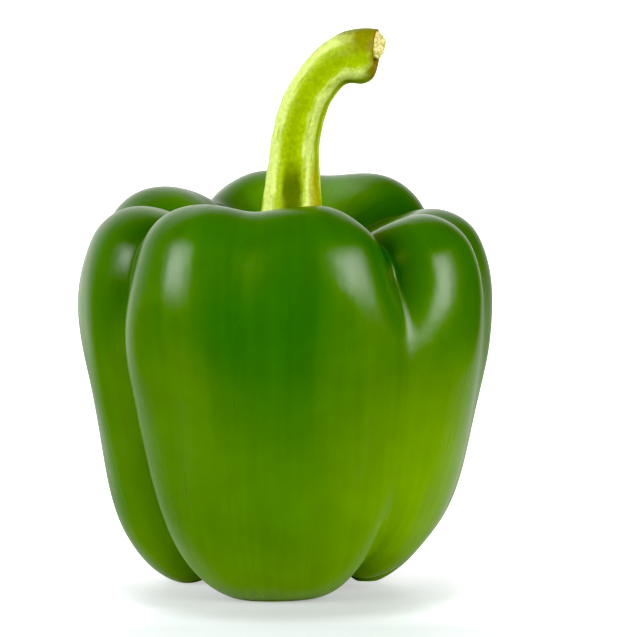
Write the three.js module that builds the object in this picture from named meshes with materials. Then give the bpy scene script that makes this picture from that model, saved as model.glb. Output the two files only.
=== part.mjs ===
// A green bell pepper standing upright on the tips of its four lobes.
//
// Millimetres, +Z up. The origin is on the surface the pepper stands on, under the middle of its
// bounding box. +X is to the right of someone who looks at the front lobe, and -Y is towards them.
// Angles are in degrees round the growth axis, from +X through +Y.

import * as THREE from 'three';

// Driving dimensions
const lobeReach = 46;        // growth axis to the outside of a lobe where the fruit is widest
const crestHeight = 91;      // control height of the crests that the lobes make round the stem
const seatHeight = 73.3;     // floor of the crown's hollow, where the stem sits
const tipHollowHeight = 11.3; // roof of the hollow under the blossom end
const stemRadius = 6.4;      // stem just above the calyx
const calyxRadius = 13.4;    // growth axis to the calyx's edge, between two points
const calyxGap = 0.4;        // calyx to the fruit under it
const stemRise = 42.4;       // seat to the middle of the stem's cut end
const stemOverhang = 18.5;   // growth axis to the cut face
const bendAzimuth = -10;     // the way the stem bends over
const growthAxis = { x: 0.95, y: -0.85 }; // puts the bounding box's middle over the origin

// Shape of the fruit from the blossom end to the stem's seat, as control points of a smooth
// curve. Each is [share of lobeReach, height]. One curve runs up the ridge of a lobe and the
// other up the floor of a full groove.
const ridge = [
  [0, tipHollowHeight],
  [0.15, tipHollowHeight - 0.5],
  [0.27, 0.058 * crestHeight],
  [0.435, -0.026 * crestHeight], // foot, flattened at the ground
  [0.665, 0.014 * crestHeight],
  [0.87, 0.168 * crestHeight],
  [0.903, 0.374 * crestHeight],
  [0.962, 0.593 * crestHeight],
  [1.024, 0.79 * crestHeight],   // widest
  [0.945, 0.937 * crestHeight],
  [0.685, crestHeight],          // crest
  [0.435, 0.926 * crestHeight],
  [0.27, seatHeight + 2],
  [0.13, seatHeight],
  [0, seatHeight],
];
const grooveFloor = [
  [0, tipHollowHeight],
  [0.15, tipHollowHeight + 1],
  [0.26, 0.141 * crestHeight],
  [0.38, 0.135 * crestHeight],
  [0.52, 0.157 * crestHeight],
  [0.65, 0.253 * crestHeight],
  [0.74, 0.407 * crestHeight],
  [0.793, 0.593 * crestHeight],
  [0.815, 0.747 * crestHeight],  // widest
  [0.783, 0.857 * crestHeight],
  [0.63, 0.904 * crestHeight],   // lowest way over the crown
  [0.435, 0.882 * crestHeight],
  [0.27, seatHeight + 2],
  [0.13, seatHeight],
  [0, seatHeight],
];

// Four grooves part the lobes, and a shallow dent parts each lobe's crown in two. Each list holds
// the value at the crown, at the waist and at the tip: angle, depth as a share of a full groove,
// and width in degrees. softness rounds the groove's floor, in degrees.
const grooves = [
  { angle: [30, 32, 32], depth: [1, 0.5, 0.8], width: [13, 11, 12], softness: 3 },
  { angle: [125, 123, 122], depth: [0.95, 0.7, 0.8], width: [12, 11, 12], softness: 3 },
  { angle: [210, 207, 208], depth: [1, 1, 0.95], width: [13, 6, 11], softness: 3 },
  { angle: [306, 306, 311], depth: [1, 0.2, 0.42], width: [9, 10, 12], softness: 2 },
  { angle: [77, 77, 77], depth: [0.2, 0.05, 0.1], width: [14, 14, 14], softness: 8 },
  { angle: [170, 168, 168], depth: [0.75, 0.15, 0.1], width: [9, 10, 12], softness: 4 },
  { angle: [254, 254, 254], depth: [0.35, 0.08, 0], width: [12, 14, 14], softness: 8 },
  { angle: [348, 348, 348], depth: [0.45, 0.12, 0.12], width: [12, 12, 12], softness: 7 },
];

// How the fruit differs from an even one, by angle: further out at the waist and lower down, and
// higher at the crest and at the foot.
const swellings = [
  { angle: 10, waist: 0.1, low: -5, crest: -4.2, foot: -2.3 },
  { angle: 50, waist: 0.5, low: 0, crest: 0.2, foot: -1.9 },
  { angle: 77, waist: 0, low: 0, crest: -0.6, foot: -1.9 },
  { angle: 110, waist: 0.5, low: 0, crest: 0.2, foot: -1.5 },
  { angle: 145, waist: 2.8, low: 2.2, crest: -1.4, foot: -1.5 },
  { angle: 189, waist: 2.7, low: 1.5, crest: -2.6, foot: -1.5 },
  { angle: 228, waist: 3, low: 0.3, crest: -0.4, foot: -0.4 },
  { angle: 279, waist: -2, low: -1.6, crest: -1.7, foot: 0.2 },
  { angle: 326, waist: 2.2, low: -4.4, crest: -4.2, foot: 1.1 },
  { angle: 350, waist: -1.4, low: -4.5, crest: -4.2, foot: 2.5 },
];

// The calyx and the stem as rings threaded on one line, from the middle of the calyx's underside
// out to its edge, back over its top, up the stem and across the cut face. out is how far the
// ring's middle has bent away from the growth axis, up is its height over the seat, lean is how
// far it has tipped over, and point is how far the calyx's points stand out and up.
const stemRings = [
  { out: 0, up: calyxGap, radius: 0, lean: 0, point: 0 },
  { out: 0, up: calyxGap, radius: 7, lean: 0, point: 0 },
  { out: 0, up: 2.9, radius: 12, lean: 0, point: 0.4 },
  { out: 0, up: 4.6, radius: calyxRadius, lean: 0, point: 1.2 },
  { out: 0, up: 5.1, radius: calyxRadius - 1.2, lean: 0, point: 1 },
  { out: -0.1, up: 3.6, radius: 8.8, lean: 0, point: 0.3 },
  { out: -0.2, up: 5, radius: stemRadius + 0.5, lean: 0, point: 0 },
  { out: -0.2, up: 10.7, radius: stemRadius, lean: 0, point: 0 },
  { out: 0.1, up: 18, radius: 5.5, lean: 2, point: 0 },
  { out: 0.6, up: 25.5, radius: 5.1, lean: 12, point: 0 },
  { out: 2.7, up: 32.5, radius: 5, lean: 28, point: 0 },
  { out: 6.2, up: 38, radius: 4.8, lean: 50, point: 0 },
  { out: 10.8, up: stemRise, radius: 5.2, lean: 73, point: 0 },
  { out: 15.1, up: stemRise, radius: 6.3, lean: 92, point: 0 },
  { out: stemOverhang - 1.2, up: stemRise, radius: 5.9, lean: 92, point: 0 },
  { out: stemOverhang, up: stemRise, radius: 4.9, lean: 92, point: 0 },
  { out: stemOverhang + 0.1, up: stemRise, radius: 4.6, lean: 92, point: 0 },
  { out: stemOverhang - 0.2, up: stemRise, radius: 0, lean: 92, point: 0 },
];
const calyxPoints = 6;
const stemRibs = { count: 5, height: 0.035, first: 18 }; // height as a share of the radius

const fruitFacets = { around: 96, along: 42 };
const stemFacets = { around: 24, along: 48 };

const skin = new THREE.MeshStandardMaterial({ color: 0x3f7a06, roughness: 0.3, metalness: 0 });
const stalk = new THREE.MeshStandardMaterial({ color: 0x9db41c, roughness: 0.6, metalness: 0 });

const degrees = THREE.MathUtils.degToRad;
const { smoothstep, lerp } = THREE.MathUtils;

// Value at share t of the uniform cubic B-spline through rows of numbers. It starts and ends on
// the first and last rows, because a mirrored row is added past each end.
function spline(rows, t) {
  const mirrored = (end, next) => end.map((value, column) => 2 * value - next[column]);
  const last = rows.length - 1;
  const padded = [mirrored(rows[0], rows[1]), ...rows, mirrored(rows[last], rows[last - 1])];
  const at = Math.min(t * last, last - 1e-9);
  const start = Math.floor(at);
  const f = at - start;
  const weights = [
    (1 - f) ** 3 / 6,
    (3 * f ** 3 - 6 * f ** 2 + 4) / 6,
    (-3 * f ** 3 + 3 * f ** 2 + 3 * f + 1) / 6,
    f ** 3 / 6,
  ];
  return rows[0].map((_, column) =>
    weights.reduce((sum, weight, k) => sum + weight * padded[start + k][column], 0));
}

// Blend of a [crown, waist, tip] list at share t of the way from the blossom end to the seat.
function blend([crown, waist, tip], t) {
  const crownShare = smoothstep(t, 0.48, 0.62);
  const tipShare = 1 - smoothstep(t, 0.22, 0.45);
  return crown * crownShare + tip * tipShare + waist * (1 - crownShare - tipShare);
}

// How far a place lies in the grooves: 0 on a ridge, 1 on the floor of a full groove.
function grooveDepth(angle, t) {
  return grooves.reduce((depth, groove) => {
    const off = THREE.MathUtils.euclideanModulo(angle - blend(groove.angle, t) + 180, 360) - 180;
    const rounded = Math.hypot(off, groove.softness) - groove.softness;
    return depth + blend(groove.depth, t) * Math.exp(-rounded / blend(groove.width, t));
  }, 0);
}

// One swelling's value at an angle, eased between its neighbours round the fruit.
function swelling(name, angle) {
  const turned = THREE.MathUtils.euclideanModulo(angle, 360);
  const after = swellings.findIndex((place) => place.angle > turned);
  const next = swellings[Math.max(after, 0)];
  const before = swellings.at(after > 0 ? after - 1 : -1);
  const span = THREE.MathUtils.euclideanModulo(next.angle - before.angle, 360);
  const share = THREE.MathUtils.euclideanModulo(turned - before.angle, 360) / span;
  return lerp(before[name], next[name], (1 - Math.cos(Math.PI * share)) / 2);
}

// Point of the fruit's skin at an angle, and at share t from the blossom end to the stem's seat.
function fruitPoint(angle, t) {
  const [ridgeShare, ridgeHeight] = spline(ridge, t);
  const [floorShare, floorHeight] = spline(grooveFloor, t);
  const depth = grooveDepth(angle, t);
  const waist = smoothstep(t, 0.35, 0.55) * (1 - smoothstep(t, 0.68, 0.95));
  const low = smoothstep(t, 0.05, 0.25) * (1 - smoothstep(t, 0.28, 0.5));
  const crest = smoothstep(t, 0.45, 0.7) * (1 - smoothstep(t, 0.75, 0.98));
  const foot = smoothstep(t, 0, 0.15) * (1 - smoothstep(t, 0.22, 0.38));
  const radius = lobeReach * lerp(ridgeShare, floorShare, depth)
    + swelling('waist', angle) * waist
    + swelling('low', angle) * low;
  const height = lerp(ridgeHeight, floorHeight, depth)
    + swelling('crest', angle) * crest
    + swelling('foot', angle) * foot;
  return new THREE.Vector3(
    radius * Math.cos(degrees(angle)),
    radius * Math.sin(degrees(angle)),
    Math.max(height, 0),
  );
}

// Point of the calyx or stem at an angle round its ring, and at share t along the line of rings.
function stemPoint(angle, t) {
  const columns = ['out', 'up', 'radius', 'lean', 'point'];
  const rows = stemRings.map((ring) => columns.map((column) => ring[column]));
  const [out, up, radius, lean, point] = spline(rows, t);
  const round = degrees(angle);
  const ribs = stemRibs.height * smoothstep(t, 0.35, 0.5)
    * Math.cos(stemRibs.count * round - degrees(stemRibs.first) * stemRibs.count);
  const spread = point * Math.cos(calyxPoints * round);
  const reach = radius * (1 + ribs) + spread;
  const across = reach * Math.cos(round);
  const tipped = degrees(lean);
  return new THREE.Vector3(
    out + across * Math.cos(tipped),
    reach * Math.sin(round),
    seatHeight + up + spread - across * Math.sin(tipped),
  ).applyAxisAngle(new THREE.Vector3(0, 0, 1), degrees(bendAzimuth));
}

// Closed surface over a grid of rings, with one point at the start and one at the end.
function closedSurface(surfacePoint, { around, along }) {
  const points = [surfacePoint(0, 0)];
  for (let ring = 1; ring < along; ring += 1) {
    for (let side = 0; side < around; side += 1) {
      points.push(surfacePoint((360 * side) / around, ring / along));
    }
  }
  points.push(surfacePoint(0, 1));
  const corner = (ring, side) => 1 + (ring - 1) * around + (side % around);
  const last = points.length - 1;
  const faces = [];
  for (let side = 0; side < around; side += 1) {
    faces.push(0, corner(1, side + 1), corner(1, side));
    for (let ring = 1; ring < along - 1; ring += 1) {
      const near = [corner(ring, side), corner(ring, side + 1)];
      const far = [corner(ring + 1, side), corner(ring + 1, side + 1)];
      faces.push(near[0], near[1], far[1], near[0], far[1], far[0]);
    }
    faces.push(corner(along - 1, side), corner(along - 1, side + 1), last);
  }
  const geometry = new THREE.BufferGeometry().setFromPoints(points);
  geometry.setIndex(faces);
  geometry.computeVertexNormals();
  return geometry;
}

function piece(name, geometry, material) {
  const mesh = new THREE.Mesh(geometry, material);
  mesh.name = name;
  return mesh;
}

const pepper = new THREE.Group();
pepper.add(piece('fruit', closedSurface(fruitPoint, fruitFacets), skin));
pepper.add(piece('stem', closedSurface(stemPoint, stemFacets), stalk));
pepper.position.set(growthAxis.x, growthAxis.y, 0);

export default pepper;
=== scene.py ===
# %% [markdown]
# # A green bell pepper
#
# The pepper stands on the tips of its lobes. It has two pieces: the fruit, which is one glossy
# green body, and the stem, which has grown in one with the flat calyx that lies in the crown's
# hollow. This lesson works out both surfaces with numpy, gives them their finish with shader
# nodes, and lights them as in a studio with two soft boxes.
#
# We start by opening the frame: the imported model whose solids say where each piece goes.

# %% Open the frame
import math

import bpy
import numpy as np
from mathutils import Matrix, Vector


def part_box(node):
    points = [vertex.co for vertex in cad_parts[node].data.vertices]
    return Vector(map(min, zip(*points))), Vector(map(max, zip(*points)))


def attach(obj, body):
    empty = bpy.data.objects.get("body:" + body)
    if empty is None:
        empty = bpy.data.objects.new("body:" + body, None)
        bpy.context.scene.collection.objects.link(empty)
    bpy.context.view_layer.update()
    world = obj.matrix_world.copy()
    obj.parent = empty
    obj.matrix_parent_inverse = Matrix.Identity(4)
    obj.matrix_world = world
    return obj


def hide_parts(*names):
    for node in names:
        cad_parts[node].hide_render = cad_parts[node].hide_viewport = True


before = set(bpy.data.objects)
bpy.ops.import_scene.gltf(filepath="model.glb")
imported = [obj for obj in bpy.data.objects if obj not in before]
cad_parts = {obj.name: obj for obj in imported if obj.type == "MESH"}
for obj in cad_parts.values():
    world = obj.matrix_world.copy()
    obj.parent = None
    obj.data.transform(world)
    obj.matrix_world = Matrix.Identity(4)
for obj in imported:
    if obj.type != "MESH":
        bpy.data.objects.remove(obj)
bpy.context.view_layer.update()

print("nodes", sorted(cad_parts))

# %% [markdown]
# ## How the fruit's surface is worked out
#
# A lobed fruit could be sculpted by hand, but a formula keeps it smooth, closed and easy to
# change. We draw two profiles from the blossom end to the stem's seat: one up the ridge of a
# lobe and one up the floor of a groove. At each angle round the fruit the skin lies between
# the two, nearer the second the deeper the place is in a groove.
#
# Each profile is a cubic B-spline, because it stays smooth however few points it has. These
# are the same values as in the solid, in millimetres.

# %% Curves and blends
MM = 0.001


def spline(rows, t):
    """Cubic B-spline over rows of numbers at shares t, with a mirrored row added past each end
    so that it starts and stops on the first and last rows."""
    rows = np.array(rows, float)
    rows = np.vstack([2 * rows[0] - rows[1], rows, 2 * rows[-1] - rows[-2]])
    spans = len(rows) - 3
    place = np.clip(np.asarray(t) * spans, 0, spans - 1e-9)
    start = place.astype(int)
    f = (place - start)[..., None]
    weights = ((1 - f) ** 3, 3 * f**3 - 6 * f**2 + 4, -3 * f**3 + 3 * f**2 + 3 * f + 1, f**3)
    return sum(weight * rows[start + k] for k, weight in enumerate(weights)) / 6


def smoothstep(x, low, high):
    """0 below low, 1 above high, and 3 s^2 - 2 s^3 between them."""
    s = np.clip((x - low) / (high - low), 0, 1)
    return s * s * (3 - 2 * s)


def within(t, stretch):
    """Smoothstep up over the first two values of a stretch, times one down over the last two."""
    return smoothstep(t, *stretch[:2]) * (1 - smoothstep(t, *stretch[2:]))


def turned(angle, centre):
    """How far an angle is from a centre, from -180 to 180 degrees."""
    return (angle - centre + 180) % 360 - 180


print("halfway up a stretch from 0 to 1 the blend is", smoothstep(0.5, 0, 1))

# %% The two profiles, as share of the lobe's reach and height in millimetres
LOBE_REACH = 46.0
CREST = 91.0
SEAT = 73.3
TIP_HOLLOW = 11.3
RIDGE = [
    (0, TIP_HOLLOW), (0.15, TIP_HOLLOW - 0.5), (0.27, 0.058 * CREST), (0.435, -0.026 * CREST),
    (0.665, 0.014 * CREST), (0.87, 0.168 * CREST), (0.903, 0.374 * CREST), (0.962, 0.593 * CREST),
    (1.024, 0.79 * CREST), (0.945, 0.937 * CREST), (0.685, CREST), (0.435, 0.926 * CREST),
    (0.27, SEAT + 2), (0.13, SEAT), (0, SEAT),
]
GROOVE_FLOOR = [
    (0, TIP_HOLLOW), (0.15, TIP_HOLLOW + 1), (0.26, 0.141 * CREST), (0.38, 0.135 * CREST),
    (0.52, 0.157 * CREST), (0.65, 0.253 * CREST), (0.74, 0.407 * CREST), (0.793, 0.593 * CREST),
    (0.815, 0.747 * CREST), (0.783, 0.857 * CREST), (0.63, 0.904 * CREST), (0.435, 0.882 * CREST),
    (0.27, SEAT + 2), (0.13, SEAT), (0, SEAT),
]
print("profile points", len(RIDGE), len(GROOVE_FLOOR))

# %% [markdown]
# ## Grooves and swellings
#
# Four grooves part the lobes, and a shallow dent parts the crown of each lobe. A groove's
# cross-section falls off as exp(-distance / width), which gives the tight fold with round
# shoulders that peppers have, where a cosine would give a soft wave. Every groove has values
# for the crown, the waist and the tip. The swellings then make each lobe a little different.

# %% Grooves: angle, depth and width at crown, waist and tip, then the floor's softness
GROOVES = [
    ((30, 32, 32), (1, 0.5, 0.8), (13, 11, 12), 3),
    ((125, 123, 122), (0.95, 0.7, 0.8), (12, 11, 12), 3),
    ((210, 207, 208), (1, 1, 0.95), (13, 6, 11), 3),
    ((306, 306, 311), (1, 0.2, 0.42), (9, 10, 12), 2),
    ((77, 77, 77), (0.2, 0.05, 0.1), (14, 14, 14), 8),
    ((170, 168, 168), (0.75, 0.15, 0.1), (9, 10, 12), 4),
    ((254, 254, 254), (0.35, 0.08, 0), (12, 14, 14), 8),
    ((348, 348, 348), (0.45, 0.12, 0.12), (12, 12, 12), 7),
]
WAIST_TO_CROWN = (0.48, 0.62)
TIP_TO_WAIST = (0.22, 0.45)


def crown_waist_tip(values, t):
    """Blend of three values: the last near the blossom end, the first near the seat."""
    crown = smoothstep(t, *WAIST_TO_CROWN)
    tip = 1 - smoothstep(t, *TIP_TO_WAIST)
    return values[0] * crown + values[2] * tip + values[1] * (1 - crown - tip)


def groove_depth(angle, t):
    """Sum over the grooves of depth * exp(-(hypot(distance, softness) - softness) / width)."""
    depth = 0
    for place, deep, wide, softness in GROOVES:
        rounded = np.hypot(turned(angle, crown_waist_tip(place, t)), softness) - softness
        depth = depth + crown_waist_tip(deep, t) * np.exp(-rounded / crown_waist_tip(wide, t))
    return depth


print("grooves", len(GROOVES))
print("the one left of the front lobe is deep", groove_depth(np.array([207.0]), 0.5).round(2))

# %% Swellings: angle, then millimetres out at the waist, out lower down, up at crest and foot
SWELLINGS = np.array([
    (10, 0.1, -5, -4.2, -2.3),
    (50, 0.5, 0, 0.2, -1.9),
    (77, 0, 0, -0.6, -1.9),
    (110, 0.5, 0, 0.2, -1.5),
    (145, 2.8, 2.2, -1.4, -1.5),
    (189, 2.7, 1.5, -2.6, -1.5),
    (228, 3, 0.3, -0.4, -0.4),
    (279, -2, -1.6, -1.7, 0.2),
    (326, 2.2, -4.4, -4.2, 1.1),
    (350, -1.4, -4.5, -4.2, 2.5),
])
WAIST_STRETCH = (0.35, 0.55, 0.68, 0.95)
LOW_STRETCH = (0.05, 0.25, 0.28, 0.5)
CREST_STRETCH = (0.45, 0.7, 0.75, 0.98)
FOOT_STRETCH = (0, 0.15, 0.22, 0.38)


def swellings(angle):
    """The four swelling values at an angle, eased by a half cosine between the listed angles."""
    rows = np.vstack([SWELLINGS[-1:], SWELLINGS, SWELLINGS[:1]])
    rows[0, 0] -= 360
    rows[-1, 0] += 360
    place = np.asarray(angle) % 360
    start = np.searchsorted(rows[:, 0], place, side="right") - 1
    share = (place - rows[start, 0]) / (rows[start + 1, 0] - rows[start, 0])
    eased = ((1 - np.cos(np.pi * share)) / 2)[..., None]
    return np.moveaxis(rows[start, 1:] * (1 - eased) + rows[start + 1, 1:] * eased, -1, 0)


print("swelling of the front lobe in mm", swellings(np.array([262.0]))[:, 0].round(1))

# %% [markdown]
# ## The skin as a grid of points
#
# The profiles, grooves and swellings now give one point for each angle and each share of the
# way from blossom end to seat. The tip of a real lobe flattens a little where it carries the
# fruit. Here the height simply stops at the ground, which leaves the same small flat foot.

# %% The fruit's skin
SIDES = 384
RINGS = 240


def fruit_skin(angle, t):
    """Point of the skin at an angle and a share t from blossom end to seat. Radius and height go
    from the ridge's to the groove floor's by the groove depth, each swelling is added over its
    own stretch of t, and the height stops at the ground."""
    ridge_share, ridge_height = np.moveaxis(spline(RIDGE, t), -1, 0)
    floor_share, floor_height = np.moveaxis(spline(GROOVE_FLOOR, t), -1, 0)
    depth = groove_depth(angle, t)
    waist, low, crest, foot = swellings(angle)
    radius = (LOBE_REACH * (ridge_share + (floor_share - ridge_share) * depth)
              + waist * within(t, WAIST_STRETCH) + low * within(t, LOW_STRETCH))
    height = (ridge_height + (floor_height - ridge_height) * depth
              + crest * within(t, CREST_STRETCH) + foot * within(t, FOOT_STRETCH))
    on_axis = np.radians(angle)
    return np.stack([radius * np.cos(on_axis), radius * np.sin(on_axis), np.maximum(height, 0)], -1)


angle_grid, share_grid = np.meshgrid(np.arange(SIDES) * 360 / SIDES, np.linspace(0, 1, RINGS + 1))
fruit_grid = fruit_skin(angle_grid, share_grid)
print("fruit grid", fruit_grid.shape, "size in mm", np.ptp(fruit_grid.reshape(-1, 3), axis=0).round(1))

# %% [markdown]
# ## From the formula's millimetres to the frame
#
# The solid in the frame is the authority on size and place. So we measure how far the grid's
# own box is from the solid's box and keep that scale and shift for everything that follows.

# %% Fit to the frame
fruit_low, fruit_high = (np.array(corner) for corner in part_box("fruit"))
grid_low = fruit_grid.reshape(-1, 3).min(0)
grid_high = fruit_grid.reshape(-1, 3).max(0)
SCALE = (fruit_high - fruit_low) / (grid_high - grid_low)
SHIFT = fruit_low - grid_low * SCALE


def to_frame(points):
    """Formula millimetres to frame metres: each axis times its scale, plus its shift."""
    return points * SCALE + SHIFT


print("scale to millimetres", (SCALE / MM).round(4), "growth axis at", (SHIFT / MM).round(2))

# %% [markdown]
# ## Turning a grid into a closed mesh
#
# Both pieces are rings of points threaded between two poles, so one function serves both. The
# first and last ring have shrunk to a point. They become one vertex each, with a fan of
# triangles, and the rest is quads, wound so that the faces point outwards.

# %% Grid to mesh


def flat_list(grid):
    """Values of a ring-by-side grid in the mesh's vertex order: pole, inner rings, pole."""
    inner = grid[1:-1].reshape(-1, *grid.shape[2:])
    return np.concatenate([grid[0, :1], inner, grid[-1, :1]])


def closed_piece(name, grid):
    """Object whose mesh joins corner (ring, side) to its neighbours round and along the grid."""
    rings, sides = grid.shape[:2]
    side = np.arange(sides)
    after = (side + 1) % sides
    row = 1 + sides * np.arange(rings - 3)[:, None]
    quads = np.stack([row + side, row + after, row + sides + after, row + sides + side], -1)
    last_row = 1 + sides * (rings - 3)
    points = flat_list(grid)
    start_fan = np.stack([0 * side, 1 + after, 1 + side], -1)
    end_fan = np.stack([last_row + side, last_row + after, 0 * side + len(points) - 1], -1)
    mesh = bpy.data.meshes.new(name)
    faces = [*quads.reshape(-1, 4).tolist(), *start_fan.tolist(), *end_fan.tolist()]
    mesh.from_pydata(points, [], faces)
    mesh.shade_smooth()
    piece = bpy.data.objects.new(name, mesh)
    bpy.context.scene.collection.objects.link(piece)
    print(name, "has", len(mesh.polygons), "faces")
    return piece


def note(piece, name, grid):
    """Keeps a grid of numbers or vectors on the mesh as a point attribute, for the shader."""
    values = flat_list(grid)
    kind = "FLOAT_VECTOR" if values.ndim == 2 else "FLOAT"
    attribute = piece.data.attributes.new(name, kind, "POINT")
    attribute.data.foreach_set("vector" if values.ndim == 2 else "value", values.ravel())


def way_round(degrees):
    """Unit vector (cos, sin, 0) at an angle. Noise that reads it has no seam at 360 degrees."""
    on_axis = np.radians(degrees)
    return np.stack([np.cos(on_axis), np.sin(on_axis), 0 * on_axis], -1)


print("the fruit will have", SIDES * RINGS, "faces")


# %% [markdown]
# ## Slight unevenness
#
# A grown surface isn't as even as a formula. It could be roughened in the shader alone, but a
# gloss shows every slight wave and so does an outline, so the waves are in the mesh. Each set
# is a few dozen plane waves with seeded directions, lengths and starts, added up. They are
# measured in millimetres, and each vertex moves along its own normal.

# %% Seeded waves
WAVE_SEED = 11
rng = np.random.default_rng(WAVE_SEED)


def seeded_waves(count, shortest, longest, drawn):
    """Waves as directions and starts. A direction is random, times drawn on each axis, and is
    as long as 2 pi over a wavelength that lies between shortest and longest."""
    way = rng.normal(size=(count, len(drawn))) * drawn
    lengths = rng.uniform(shortest, longest, count)
    way *= (2 * np.pi / lengths / np.linalg.norm(way, axis=1))[:, None]
    return way, rng.uniform(0, 2 * np.pi, count)


def wave_sum(points, waves):
    """Sum over the waves of cos(point dot direction + start)."""
    way, start = waves
    return np.cos(points @ way.T + start).sum(-1)


def push_out(piece, height):
    """Moves each vertex along its normal by height(points in millimetres), in millimetres."""
    mesh = piece.data
    points = np.empty(3 * len(mesh.vertices))
    normals = np.empty(3 * len(mesh.vertices))
    mesh.vertices.foreach_get("co", points)
    mesh.vertices.foreach_get("normal", normals)
    points, normals = points.reshape(-1, 3), normals.reshape(-1, 3)
    pushed = height(points / MM)
    mesh.vertices.foreach_set("co", (points + normals * (pushed * MM)[:, None]).ravel())
    mesh.update()
    print(piece.name, "pushed out by up to", abs(pushed).max().round(3), "mm")


print("the waves are seeded with", WAVE_SEED)


# %% [markdown]
# ## The fruit
#
# The flesh grows in long strands, so its waves of 9 to 30 mm are drawn out up the fruit. They
# fade out at the feet so that the pepper still stands on the ground. The mesh also keeps, for
# the shader, where each vertex is round and up the fruit and how deep in a groove.

# %% Make the fruit
SKIN_WAVES = seeded_waves(36, 9, 30, (1, 1, 0.35))
SKIN_WAVE_HEIGHT = 0.028
FOOT_TOP = (0.5, 6)


def skin_waves(points):
    """Height of one wave times the sum of the waves, faded in over the lowest 6 mm."""
    return SKIN_WAVE_HEIGHT * wave_sum(points, SKIN_WAVES) * smoothstep(points[:, 2], *FOOT_TOP)


fruit = closed_piece("pepper_fruit", to_frame(fruit_grid))
push_out(fruit, skin_waves)
note(fruit, "strand", way_round(angle_grid) + share_grid[..., None] * (0, 0, 1))
note(fruit, "groove", groove_depth(angle_grid, share_grid))

# %% [markdown]
# ## The stem and calyx
#
# The stem bends over and swells into a knuckle where it was cut from the plant. It is a
# profile carried along a path: a list of rings from the middle of the calyx's underside, out
# to its edge, back over its top, up the stem and over the cut end. Each ring says how far its
# middle has bent out, its height over the seat, its radius, how far it leans, how far the
# calyx's points stand out there, and how far its middle is moved to the back of the bend.

# %% The stem's rings
STEM_RADIUS = 6.4
CALYX_RADIUS = 13.4
CALYX_GAP = 0.4
RISE = 42.4
OVERHANG = 18.5
STEM_RINGS = [
    (0, CALYX_GAP, 0, 0, 0, 0),
    (0, CALYX_GAP, 7, 0, 0, 0),
    (0, 2.9, 12, 0, 0.4, 0),
    (0, 4.6, CALYX_RADIUS, 0, 1.2, 0),
    (0, 5.1, CALYX_RADIUS - 1.2, 0, 1, 0),
    (-0.1, 3.6, 8.8, 0, 0.3, 0),
    (-0.2, 5, STEM_RADIUS + 0.5, 0, 0, 0),
    (-0.2, 10.7, STEM_RADIUS, 0, 0, 0),
    (0.1, 18, 5.5, 2, 0, 0),
    (0.6, 25.5, 5.1, 12, 0, 0),
    (2.7, 32.5, 5, 28, 0, 0),
    (6.2, 38, 4.8, 50, 0, 0),
    (10.8, RISE, 5.2, 73, 0, 0),
    (15.1, RISE, 6.3, 92, 0, 0),
    (OVERHANG - 0.6, RISE, 5.6, 92, 0, 0.4),
    (OVERHANG + 0.3, RISE, 4.4, 92, 0, 1.5),
    (OVERHANG - 0.5, RISE, 3.1, 92, 0, 2.3),
    (OVERHANG - 0.4, RISE, 3.0, 92, 0, 2.4),
    (OVERHANG + 0.9, RISE, 2.9, 92, 0, 2.4),
    (OVERHANG + 0.9, RISE, 2.7, 92, 0, 2.4),
    (OVERHANG + 0.7, RISE, 0, 92, 0, 2.4),
]
CUT_FROM = 15.8 / 20  # share along the rings where the skin ends
print("stem rings", len(STEM_RINGS), "the cut starts at", CUT_FROM)

# %% [markdown]
# Low ribs run up the stem and wind a little round it. The cut wasn't clean: its fibres tore, so
# the plane of the cut is rough and slants, and its rim is ragged.

# %% Ribs and torn fibres
RIBS = (20, 85, 150, 227, 320)
RIB_WIDTH = 24
RIB_TWIST = 12
RIB_RELIEF = 0.11  # of the radius
RIB_MEAN = 0.45  # taken off, so that the ribs leave the mean radius as it is
TORN_WAVES = seeded_waves(14, 0.9, 2.6, (1, 1))
TORN_HEIGHT = 0.07
TORN_DEPTH = 0.8
CUT_SLANT = 0.3
RAGGED_RIM = 0.14
RIM_RADIUS = 3


def rib_height(angle, t):
    """1 on a rib and 0 between ribs: the largest of exp(-(distance / width)^2), with the ribs
    winding a few degrees round the stem on the way up."""
    wound = angle + RIB_TWIST * smoothstep(t, 0.3, 0.8)
    return np.max([np.exp(-((turned(wound, rib) / RIB_WIDTH) ** 2)) for rib in RIBS], axis=0)


def torn_fibres(places):
    """Roughness of the cut in millimetres: a sum of cosine waves over the plane of the cut."""
    return TORN_HEIGHT * wave_sum(places, TORN_WAVES)


print("the torn cut stands out at its middle by", torn_fibres(np.zeros(2)).round(2), "mm")

# %% The stem's skin
BEND_AZIMUTH = -10
CALYX_POINTS = 6
RIBBED = (0.28, 0.4, 0.72, 0.8)
STEM_SIDES = 160
STEM_STEPS = 420


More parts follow.
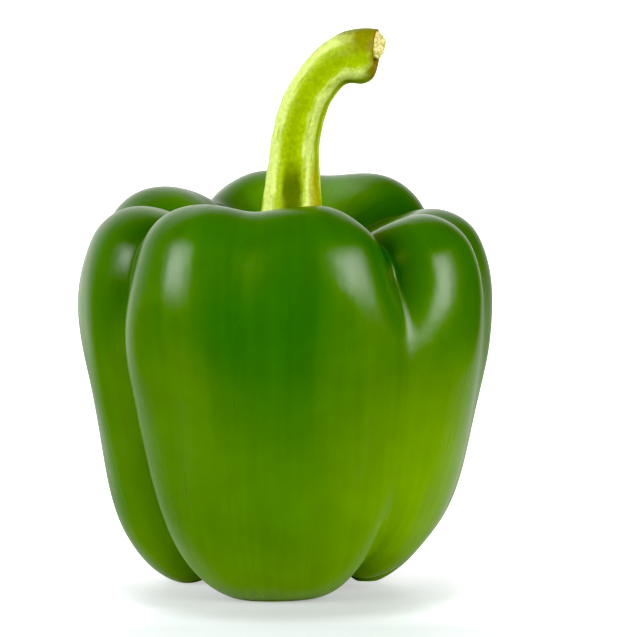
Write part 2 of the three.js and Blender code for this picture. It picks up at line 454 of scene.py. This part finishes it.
def stem_skin(angle, t):
    """Point at an angle round its ring and share t along the rings. In the ring's own plane it is
    at radius * (1 + rib) + calyx point, the plane is tipped by the ring's lean, and the cut is
    torn by a rough height along the stem and a ragged rim."""
    out, up, radius, lean, point, back = np.moveaxis(spline(STEM_RINGS, t), -1, 0)
    on_ring = np.radians(angle)
    spread = point * np.cos(CALYX_POINTS * on_ring)
    ribs = RIB_RELIEF * within(t, RIBBED) * (rib_height(angle, t) - RIB_MEAN)
    torn = smoothstep(t, CUT_FROM - 0.03, CUT_FROM + 0.02)
    ragged = RAGGED_RIM * torn * torn_fibres(RIM_RADIUS * way_round(angle)[..., :2])
    reach = radius * (1 + ribs + ragged) + spread
    across = reach * np.cos(on_ring) - back
    y = reach * np.sin(on_ring)
    tipped = np.radians(lean)
    rough = TORN_DEPTH * torn_fibres(np.stack([across, y], -1)) + CUT_SLANT * (y - 1)
    x = out + across * np.cos(tipped) + torn * rough
    z = SEAT + up + spread - across * np.sin(tipped)
    bend = np.radians(BEND_AZIMUTH)
    return np.stack([x * np.cos(bend) - y * np.sin(bend), x * np.sin(bend) + y * np.cos(bend), z], -1)


ring_angle, ring_share = np.meshgrid(
    np.arange(STEM_SIDES) * 360 / STEM_SIDES, np.linspace(0, 1, STEM_STEPS + 1))
stem_grid = stem_skin(ring_angle, ring_share)
print("stem grid", stem_grid.shape, "size in mm", np.ptp(stem_grid.reshape(-1, 3), axis=0).round(1))

# %% Make the stem
KNOB_WAVES = seeded_waves(30, 3, 9, (1, 1, 1))
KNOB_HEIGHT = 0.014


def stalk_knobs(points):
    """Height of one wave times the sum of the waves."""
    return KNOB_HEIGHT * wave_sum(points, KNOB_WAVES)


stem = closed_piece("pepper_stem", to_frame(stem_grid))
note(stem, "along", ring_share)
note(stem, "rib", rib_height(ring_angle, ring_share))
note(stem, "strand", way_round(ring_angle) + ring_share[..., None] * (0, 0, 1))
push_out(stem, stalk_knobs)

# %% [markdown]
# ## Putting the pieces in the frame
#
# Nothing on a pepper moves, so both pieces ride on the one body. Each stands for its own solid.

# %% Ride and replace
for piece, node, slot in ((fruit, "fruit", "skin"), (stem, "stem", "stalk")):
    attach(piece, "root")
    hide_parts(node)
    print(piece.name, "stands for", node)

# %% [markdown]
# ## Colours and nodes
#
# Screen colours are sRGB, while a shader works in linear light, so one function turns hex
# values to linear. One more adds a node, sets it and links it. It takes a socket by name or by
# number: 1 to 4 of a Map Range node are its from and to limits, 6 and 7 of a Mix node its colours.

# %% Colour and node helpers


def linear(hex_colour):
    """sRGB hex to linear RGBA: c / 12.92 below 0.04045, else ((c + 0.055) / 1.055) ^ 2.4."""
    parts = [int(hex_colour[k:k + 2], 16) / 255 for k in (1, 3, 5)]
    return (*(c / 12.92 if c <= 0.04045 else ((c + 0.055) / 1.055) ** 2.4 for c in parts), 1)


def add(tree, kind, inputs=(), **settings):
    """Adds one node. inputs pairs a socket's name or number with a value or another output."""
    made = tree.nodes.new("ShaderNode" + kind)
    for name, value in settings.items():
        setattr(made, name, value)
    for socket, value in dict(inputs).items():
        if isinstance(value, bpy.types.NodeSocket):
            tree.links.new(value, made.inputs[socket])
        else:
            made.inputs[socket].default_value = value
    return made


def new_material(name):
    """Empty material with its output node. Returns the material, its tree and the output."""
    material = bpy.data.materials.new(name)
    material.use_nodes = True
    material.node_tree.nodes.clear()
    return material, material.node_tree, add(material.node_tree, "OutputMaterial")


print("half grey in linear light", round(linear("#808080")[0], 3))

# %% [markdown]
# ## The skin
#
# A ripe green pepper has a thin waxy cuticle over flesh full of chlorophyll. The wax is clear
# and nearly smooth, so the eye sees a deep saturated green with soft highlights that break
# into fine upright streaks. The green is darkest on the shoulders and lighter and yellower lower
# down: partly the skin's own colour, partly painted light bouncing up from the white table. It
# is yellowest on one side where the fruit had begun to turn.
#
# Four noises give its patterns: clouds of colour 26 mm wide, a mottle of 7 mm, streaks of the
# strands 5 mm wide, and the finest grain, 1.6 mm wide. The real grain is finer still, and is
# drawn that coarse so that it shows. The last two follow the strands: they read the place round
# a circle of 40 mm radius, and the whole way up counts as only 14 mm, which draws them out.

# %% Skin colours and patterns
skin, tree, output = new_material("waxy_pepper_skin")
DEEP_GREEN = linear("#285602")
LEAF_GREEN = linear("#396102")
TURNING_AND_BOUNCE_GREEN = linear("#5F8403")
GROOVE_SHADE_GREEN = linear("#1C4402")
HOLLOW_GREEN = linear("#4C7A20")
STRAND_MM = (40, 40, 14)

coordinates = add(tree, "TexCoord").outputs["Object"]
height = add(tree, "SeparateXYZ", {0: coordinates}).outputs["Z"]
groove = add(tree, "Attribute", attribute_name="groove").outputs["Fac"]
strand = add(tree, "Attribute", attribute_name="strand").outputs["Vector"]
strand_mm = add(tree, "VectorMath", {0: strand, 1: STRAND_MM}, operation="MULTIPLY").outputs[0]
cloud = add(tree, "TexNoise", {"Vector": coordinates, "Scale": 1 / (26 * MM), "Detail": 2})
mottle = add(tree, "TexNoise", {"Vector": coordinates, "Scale": 1 / (7 * MM), "Detail": 3})
streak = add(tree, "TexNoise", {"Vector": strand_mm, "Scale": 1 / 5, "Detail": 3, "Roughness": 0.6})
fine = add(tree, "TexNoise", {"Vector": strand_mm, "Scale": 1 / 1.6, "Detail": 0})
print("skin patterns", len(tree.nodes))

# %% [markdown]
# The deep green of the shoulders ends at an uneven height. It reaches lower down the middle of
# the front lobe than on the lobe's two swollen sides: this is painted shade round the lobe's
# shallow dent, between the two sides that face the soft boxes. Clouds and streaks move the deep
# green's end up and down by up to 14 and 3 mm. Deep in the grooves the shoulders are painted
# darker still, as shade in the folds.

# %% Shoulders, painted shade down the middle and in the grooves
SHOULDER_FROM, SHOULDER_FULL = 52 * MM, 84 * MM
MIDDLE_SHADE_AT = 262
MIDDLE_SHADE_REACH = 26 * MM
CLOUD_REACH = 14 * MM
STREAK_REACH = 3 * MM
# Painted shade: the deep green is carried lower down the middle of the front lobe.
middle_shade_way = way_round(MIDDLE_SHADE_AT).tolist()
middle_shade = add(tree, "VectorMath", {0: strand, 1: middle_shade_way}, operation="DOT_PRODUCT").outputs["Value"]
uneven = add(tree, "MapRange", {0: middle_shade, 1: 0.93, 2: 0.99, 3: 0, 4: MIDDLE_SHADE_REACH},
             interpolation_type="SMOOTHSTEP")
cloud_up = add(tree, "Math", {0: cloud.outputs[0], 1: 2 * CLOUD_REACH, 2: -CLOUD_REACH},
               operation="MULTIPLY_ADD")
streak_up = add(tree, "Math", {0: streak.outputs[0], 1: 2 * STREAK_REACH, 2: -STREAK_REACH},
                operation="MULTIPLY_ADD")
for raised in (cloud_up.outputs[0], streak_up.outputs[0], height):
    uneven = add(tree, "Math", {0: uneven.outputs[0], 1: raised}, operation="ADD")
# The lighter green lower down is partly the skin's own colour and partly painted bounce light from the
# table.
shoulder = add(tree, "MapRange", {0: uneven.outputs[0], 1: SHOULDER_FROM, 2: SHOULDER_FULL},
               interpolation_type="SMOOTHSTEP")
green = add(tree, "Mix", {0: shoulder.outputs[0], 6: LEAF_GREEN, 7: DEEP_GREEN}, data_type="RGBA")
# Painted shade: deep in the grooves the shoulders are painted darker, where shade falls in the folds.
groove_shade = add(tree, "MapRange", {0: groove, 1: 0.4, 2: 1.0, 3: 0, 4: 0.8},
                interpolation_type="SMOOTHSTEP")
groove_shade = add(tree, "Math", {0: groove_shade.outputs[0], 1: shoulder.outputs[0]}, operation="MULTIPLY")
green = add(tree, "Mix", {0: groove_shade.outputs[0], 6: green.outputs[2], 7: GROOVE_SHADE_GREEN},
            data_type="RGBA")
print("the deep green starts", round(SHOULDER_FROM / MM), "to", round(SHOULDER_FULL / MM), "mm up")

# %% [markdown]
# The crown's hollow gets less sun than the shoulders, so its open skin is paler; the paler colour
# also paints in the light that falls on the hollow's inner wall from above. Lower down, one side
# had begun to turn, and is more yellow the nearer it is to one place. The tips are painted
# lighter and yellower near the table: partly turning colour, partly painted bounce light.

# %% The paler hollow, the turning side and the finest variation
TURNING_PLACE = (38 * MM, -20 * MM, 18 * MM)
TURNING_FROM, TURNING_FULL = 46 * MM, 8 * MM
TIP_FROM, TIP_FULL = 20 * MM, 2 * MM
share = add(tree, "SeparateXYZ", {0: strand}).outputs["Z"]
# The paler hollow is partly the skin's own colour and partly painted light on the hollow's inner wall.
hollow = add(tree, "MapRange", {0: share, 1: 0.7, 2: 0.78}, interpolation_type="SMOOTHSTEP")
open_skin = add(tree, "MapRange", {0: groove, 1: 0.2, 2: 0.7, 3: 0.9, 4: 0.1})
hollow = add(tree, "Math", {0: hollow.outputs[0], 1: open_skin.outputs[0]}, operation="MULTIPLY")
green = add(tree, "Mix", {0: hollow.outputs[0], 6: green.outputs[2], 7: HOLLOW_GREEN}, data_type="RGBA")
turning_way = add(tree, "VectorMath", {0: coordinates, 1: TURNING_PLACE}, operation="DISTANCE")
turning_far = add(tree, "Math", {0: turning_way.outputs["Value"], 1: streak_up.outputs[0]},
                  operation="ADD")
turning = add(tree, "MapRange", {0: turning_far.outputs[0], 1: TURNING_FROM, 2: TURNING_FULL},
              interpolation_type="SMOOTHSTEP")
# The lighter tips are partly turning colour and partly painted bounce light from the table.
tip = add(tree, "MapRange", {0: height, 1: TIP_FROM, 2: TIP_FULL, 3: 0, 4: 0.4},
          interpolation_type="SMOOTHSTEP")
for yellower in (turning, tip):
    green = add(tree, "Mix", {0: yellower.outputs[0], 6: green.outputs[2], 7: TURNING_AND_BOUNCE_GREEN},
                data_type="RGBA")
shade = add(tree, "Math", {0: fine.outputs[0], 1: 0.5, 2: mottle.outputs[0]}, operation="MULTIPLY_ADD")
shade = add(tree, "MapRange", {0: shade.outputs[0], 1: 0.5, 2: 1.0, 3: 0.9, 4: 1.08})
green = add(tree, "HueSaturation", {"Color": green.outputs[2], "Value": shade.outputs[0]})
print("it turns round the place", [round(side / MM) for side in TURNING_PLACE], "in mm")

# %% [markdown]
# Plant wax has an index of refraction of about 1.4. It is rougher where a strand lies under it,
# and its relief of 0.2 mm follows the mottle and the grain.

# %% Wax gloss
WAX_IOR = 1.4
WAX_RELIEF = 0.2 * MM
gloss = add(tree, "MapRange", {0: streak.outputs[0], 1: 0.3, 2: 0.7, 3: 0.26, 4: 0.34})
relief = add(tree, "Math", {0: fine.outputs[0], 1: 0.2, 2: mottle.outputs[0]}, operation="MULTIPLY_ADD")
bump = add(tree, "Bump", {"Height": relief.outputs[0], "Strength": 0.6, "Distance": WAX_RELIEF})
surface = add(tree, "BsdfPrincipled", {
    "Base Color": green.outputs[0], "Roughness": gloss.outputs[0], "IOR": WAX_IOR,
    "Normal": bump.outputs[0],
})
tree.links.new(surface.outputs[0], output.inputs[0])
fruit.data.materials.append(skin)
print("skin nodes", len(tree.nodes))

# %% [markdown]
# ## The stalk
#
# The stem is green plant tissue under a thin, nearly matt bark: paler on its ribs, partly in its
# own colour and partly as a painted sheen, darker in the furrows, browned where it dried near the
# cut. The cut itself shows dry fibrous pith.
#
# Its fibres are 1.1 mm wide and its grain 0.8 mm. Both are finer on the real thing, and are
# drawn that coarse so that they show. Blotches 4 mm wide make the edges of its patches uneven.

# %% Stalk colours and patterns
stalk, tree, output = new_material("pepper_stalk_bark")
BARK = linear("#8AA105")
FURROW = linear("#7B9203")
RIB_PALE_AND_SHEEN = linear("#BCCD6C")
FOOT_SHADE = linear("#3F5203")
GOLDEN = linear("#99920F")
BROWNED = linear("#6C7006")
DRIED = linear("#7A5E14")
PITH = linear("#DCCB90")
PITH_GREEN = linear("#B9B862")
TORN_EDGE = linear("#4E3B1C")
CALYX_GREEN = linear("#4F7410")
FIBRE_MM = (6, 6, 30)

along = add(tree, "Attribute", attribute_name="along").outputs["Fac"]
rib = add(tree, "Attribute", attribute_name="rib").outputs["Fac"]
strand = add(tree, "Attribute", attribute_name="strand").outputs["Vector"]
strand_mm = add(tree, "VectorMath", {0: strand, 1: FIBRE_MM}, operation="MULTIPLY").outputs[0]
coordinates = add(tree, "TexCoord").outputs["Object"]
fibre = add(tree, "TexNoise", {"Vector": strand_mm, "Scale": 1 / 1.1, "Detail": 3, "Roughness": 0.6})
grain = add(tree, "TexNoise", {"Vector": coordinates, "Scale": 1 / (0.8 * MM), "Detail": 2})
blotch = add(tree, "TexNoise", {"Vector": coordinates, "Scale": 1 / (4 * MM), "Detail": 3})
print("stalk patterns", len(tree.nodes))

# %% [markdown]
# Each patch of colour is a zone: of the way along the stem, and for some also of the way round
# it. The cosine of the angle from a zone's middle says how near a place is on the way round.

# %% Zones of the stalk
side_at = {}
for angle in (281, 337, 200, 350):
    side_at[angle] = add(tree, "VectorMath", {0: strand, 1: way_round(angle).tolist()},
                         operation="DOT_PRODUCT").outputs["Value"]
# The pale ribs are partly the bark's own colour and partly a painted sheen.
pale_and_sheen = add(tree, "Math", {0: rib, 1: fibre.outputs[0]}, operation="MULTIPLY").outputs[0]


def zone(value, start, full, uneven, amount):
    """0 to amount as value plus the blotches, centred and scaled by uneven, goes start to full."""
    moved = add(tree, "Math", {0: blotch.outputs[0], 1: uneven, 2: -uneven / 2},
                operation="MULTIPLY_ADD")
    moved = add(tree, "Math", {0: moved.outputs[0], 1: value}, operation="ADD")
    return add(tree, "MapRange", {0: moved.outputs[0], 1: start, 2: full, 3: 0, 4: amount},
               interpolation_type="SMOOTHSTEP").outputs[0]


pith = add(tree, "Mix", {0: zone(grain.outputs[0], 0.4, 0.6, 0.4, 1), 6: PITH_GREEN, 7: PITH},
           data_type="RGBA").outputs[2]
print("sides with a patch at", sorted(side_at), "degrees")

# %% [markdown]
# The colours go on in layers, the stalk's own in the order in which they came about: green bark
# over darker furrows, pale ribs with a painted sheen, the greener calyx, painted olive shade in a
# furrow at the foot and a golden stripe where rain stood there, a browned top and dried skin near
# the cut, then the torn edge and the pith. Where a layer has two zones, it shows where both do.

# %% Stalk colour, layer by layer
STALK_LAYERS = [
    (BARK, (rib, 0.0, 0.35, 0.3, 1)),
    (RIB_PALE_AND_SHEEN, (pale_and_sheen, 0.16, 0.46, 0.15, 1)),
    (CALYX_GREEN, (along, 0.32, 0.24, 0.08, 0.9)),
    # Painted shade: a dark olive patch in the furrow at the stem's foot, facing the camera.
    (FOOT_SHADE, (along, 0.425, 0.38, 0.02, 1), (side_at[281], 0.9, 0.985, 0.1, 0.95)),
    (GOLDEN, (along, 0.425, 0.38, 0.02, 1), (side_at[337], 0.9, 0.985, 0.1, 0.75)),
    (BROWNED, (along, 0.59, 0.65, 0.06, 1), (side_at[200], 0.35, 0.85, 0.8, 1)),
    (BROWNED, (along, 0.66, 0.72, 0.05, 1), (side_at[350], 0.1, 0.8, 0.6, 1)),
    (DRIED, (along, 0.69, 0.74, 0.09, 0.7)),
    (TORN_EDGE, (along, CUT_FROM - 0.01, CUT_FROM + 0.005, 0.02, 1)),
    (pith, (along, CUT_FROM + 0.075, CUT_FROM + 0.095, 0.05, 1)),
]
bark = FURROW
for colour, *limits in STALK_LAYERS:
    shown = 1.0
    for limit in limits:
        shown = add(tree, "Math", {0: zone(*limit), 1: shown}, operation="MULTIPLY").outputs[0]
    bark = add(tree, "Mix", {0: shown, 6: bark, 7: colour}, data_type="RGBA").outputs[2]
shade = add(tree, "MapRange", {0: grain.outputs[0], 1: 0.3, 2: 0.7, 3: 0.86, 4: 1.14})
bark = add(tree, "HueSaturation", {"Color": bark, "Value": shade.outputs[0]}).outputs[0]
print("stalk layers", len(STALK_LAYERS))

# %% Stalk surface
BARK_IOR = 1.38
BARK_ROUGHNESS = 0.6
BARK_RELIEF = 0.14 * MM
relief = add(tree, "Math", {0: fibre.outputs[0], 1: grain.outputs[0]}, operation="ADD")
bump = add(tree, "Bump", {"Height": relief.outputs[0], "Strength": 0.6, "Distance": BARK_RELIEF})
surface = add(tree, "BsdfPrincipled", {
    "Base Color": bark, "Roughness": BARK_ROUGHNESS, "IOR": BARK_IOR, "Normal": bump.outputs[0],
})
tree.links.new(surface.outputs[0], output.inputs[0])
stem.data.materials.append(stalk)
print("stalk nodes", len(tree.nodes))

# %% [markdown]
# ## The studio
#
# The pepper stands on a table of pale acrylic that is lit from below towards the back, as for
# a product picture. So the ground is white behind the pepper and keeps a soft shadow under it.
# The glow is for the camera alone, because in the skin it would be mirrored as a pale veil, and
# the table ends just in front of the view for the same reason. So is the shade that deepens the
# shadow where the feet stand on the table.

# %% Table
FLOOR_FRONT, FLOOR_BACK = -0.16, 3.5
FRONT_SIDE, BACK_SIDE = 0.16, 0.34
GLOW_FROM, GLOW_FULL = -0.055, 0.01
GLOW_IN_FRONT = 0.12
SHADE_REACH = 0.024
SHADE_DEPTH = 0.6
ACRYLIC = linear("#D6DBDC")
floor_mesh = bpy.data.meshes.new("studio_floor")
corners = [(-FRONT_SIDE, FLOOR_FRONT, 0), (FRONT_SIDE, FLOOR_FRONT, 0),
           (BACK_SIDE, FLOOR_BACK, 0), (-BACK_SIDE, FLOOR_BACK, 0)]
floor_mesh.from_pydata(corners, [], [(0, 1, 2, 3)])
floor = bpy.data.objects.new("studio_floor", floor_mesh)
bpy.context.scene.collection.objects.link(floor)
print("table corners", corners)

# %% Lit acrylic
acrylic, tree, output = new_material("lit_white_acrylic")
depth = add(tree, "SeparateXYZ", {0: add(tree, "TexCoord").outputs["Object"]}).outputs["Y"]
glow = add(tree, "MapRange", {0: depth, 1: GLOW_FROM, 2: GLOW_FULL, 3: GLOW_IN_FRONT, 4: 1.0})
covered = add(tree, "AmbientOcclusion", {"Distance": SHADE_REACH}, samples=8).outputs["AO"]
covered = add(tree, "MapRange", {0: covered, 1: 0.66, 2: 0.92, 3: SHADE_DEPTH, 4: 1.0}).outputs[0]
glow = add(tree, "Math", {0: glow.outputs[0], 1: covered}, operation="MULTIPLY")
seen = add(tree, "LightPath").outputs["Is Camera Ray"]
glow = add(tree, "Math", {0: glow.outputs[0], 1: seen}, operation="MULTIPLY")
shaded = add(tree, "Mix", {0: seen, 2: 1.0, 3: covered}, data_type="FLOAT")
shaded = add(tree, "Mix", {0: shaded.outputs[0], 6: (0, 0, 0, 1), 7: ACRYLIC}, data_type="RGBA")
surface = add(tree, "BsdfPrincipled", {
    "Base Color": shaded.outputs[2], "Roughness": 0.5, "Emission Color": (1, 1, 1, 1),
    "Emission Strength": glow.outputs[0],
})
tree.links.new(surface.outputs[0], output.inputs[0])
floor.data.materials.append(acrylic)
print("acrylic nodes", len(tree.nodes))

# %% [markdown]
# Two soft boxes left and right of the camera give the soft highlights on the shoulders. Each
# has a bright middle and a weaker, wider glow round it, like a real one whose lamp sits behind
# its cloth.

# %% Soft boxes
AIM = Vector(to_frame(np.array((0.0, 0.0, 60.0))))


def soft_box(name, azimuth, elevation, distance, width, height, watts):
    """Rectangular light at a bearing from the pepper: azimuth 0 is the camera's side, and it
    faces the pepper's middle."""
    light = bpy.data.lights.new(name, "AREA")
    light.shape = "RECTANGLE"
    light.size = width
    light.size_y = height
    light.energy = watts
    lamp = bpy.data.objects.new(name, light)
    a, e = math.radians(azimuth), math.radians(elevation)
    way = Vector((math.sin(a) * math.cos(e), -math.cos(a) * math.cos(e), math.sin(e)))
    facing = way.to_track_quat("Z", "Y").to_matrix().to_4x4()
    lamp.matrix_world = Matrix.Translation(AIM + way * distance) @ facing
    bpy.context.scene.collection.objects.link(lamp)
    print(name, watts, "W at", [round(side, 2) for side in lamp.matrix_world.translation])


soft_box("left_soft_box", -51, 20.5, 0.8, 0.5, 0.34, 5.2)
soft_box("left_soft_box_glow", -54, 20, 0.9, 0.8, 0.7, 4.3)
soft_box("right_soft_box", 46, 18, 0.8, 0.5, 0.4, 5.8)
soft_box("right_soft_box_glow", 52, 20, 0.9, 0.8, 0.7, 3.8)

# %% [markdown]
# The room is dim on the camera's side, pale straight behind the pepper, where it outlines the
# curved-away rims, and softly bright overhead. The camera itself sees white. The black level of
# the picture is set as a photographer would, so that the greens stay deep.

# %% Room
BEHIND_WAY = (-0.38, 0.92, 0)
BEHIND_BRIGHTNESS = 1.3
OVERHEAD_WAY = (-0.2, 0.17, 0.34)
OVERHEAD_BASE = 0.05
BLACK_LEVEL = (0.02, 0.02, 0.04)
world = bpy.data.worlds.new("studio_room")
bpy.context.scene.world = world
world.use_nodes = True
tree = world.node_tree
tree.nodes.clear()
way = add(tree, "TexCoord").outputs["Generated"]
behind = add(tree, "VectorMath", {0: way, 1: BEHIND_WAY}, operation="DOT_PRODUCT").outputs["Value"]
behind = add(tree, "MapRange", {0: behind, 1: 0.35, 2: 1.0, 3: 0.0, 4: BEHIND_BRIGHTNESS},
             interpolation_type="SMOOTHSTEP")
above = add(tree, "VectorMath", {0: way, 1: OVERHEAD_WAY}, operation="DOT_PRODUCT").outputs["Value"]
above = add(tree, "Math", {0: above, 1: OVERHEAD_BASE}, operation="ADD")
above = add(tree, "Math", {0: above.outputs[0], 1: 0.0}, operation="MAXIMUM")
room = add(tree, "Math", {0: behind.outputs[0], 1: above.outputs[0]}, operation="ADD")
seen = add(tree, "LightPath").outputs["Is Camera Ray"]
brightness = add(tree, "Mix", {0: seen, 2: room.outputs[0], 3: 1.0}, data_type="FLOAT")
background = add(tree, "Background", {0: (1, 1, 1, 1), 1: brightness.outputs[0]})
add(tree, "OutputWorld", {0: background.outputs[0]})
view = bpy.context.scene.view_settings
view.view_transform = "Standard"
view.use_curve_mapping = True
view.curve_mapping.black_level = BLACK_LEVEL
view.curve_mapping.update()
print("room nodes", len(tree.nodes))

# %% [markdown]
# ## The camera
#
# The picture looks slightly down on the pepper from the front through a long lens. Its frame
# is 623 by 637 pixels, and a point 60 mm up the growth axis lies at pixel (292, 310).

# %% Camera
PHOTO_WIDTH, PHOTO_HEIGHT = 623, 637
AIM_PIXEL = (292.0, 310.5)
PIXELS_PER_MM = 4.6
CAMERA_DISTANCE = 1.2
CAMERA_ELEVATION = math.radians(7.3)
lens_px = PIXELS_PER_MM * CAMERA_DISTANCE / MM
camera_data = bpy.data.cameras.new("camera")
camera_data.sensor_fit = "VERTICAL"
camera_data.sensor_height = 24
camera_data.lens = lens_px * camera_data.sensor_height / PHOTO_HEIGHT
camera_data.clip_end = 20
camera = bpy.data.objects.new("camera", camera_data)
bpy.context.scene.collection.objects.link(camera)
back = Vector((0, -math.cos(CAMERA_ELEVATION), math.sin(CAMERA_ELEVATION)))
right = Vector((1, 0, 0))
up = back.cross(right)
aim = (-back + right * (PHOTO_WIDTH / 2 - AIM_PIXEL[0]) / lens_px
       - up * (PHOTO_HEIGHT / 2 - AIM_PIXEL[1]) / lens_px).normalized()
facing = aim.to_track_quat("-Z", "Y").to_matrix().to_4x4()
camera.matrix_world = Matrix.Translation(AIM + back * CAMERA_DISTANCE) @ facing
bpy.context.scene.camera = camera
print("lens", round(camera_data.lens, 1), "mm")

# %% [markdown]
# ## Finishing
#
# Last, we bring the view layer up to date. The box of the solids and the box of what is seen
# should agree closely, because each surface was fitted to its solid.

# %% Finish
bpy.context.view_layer.update()
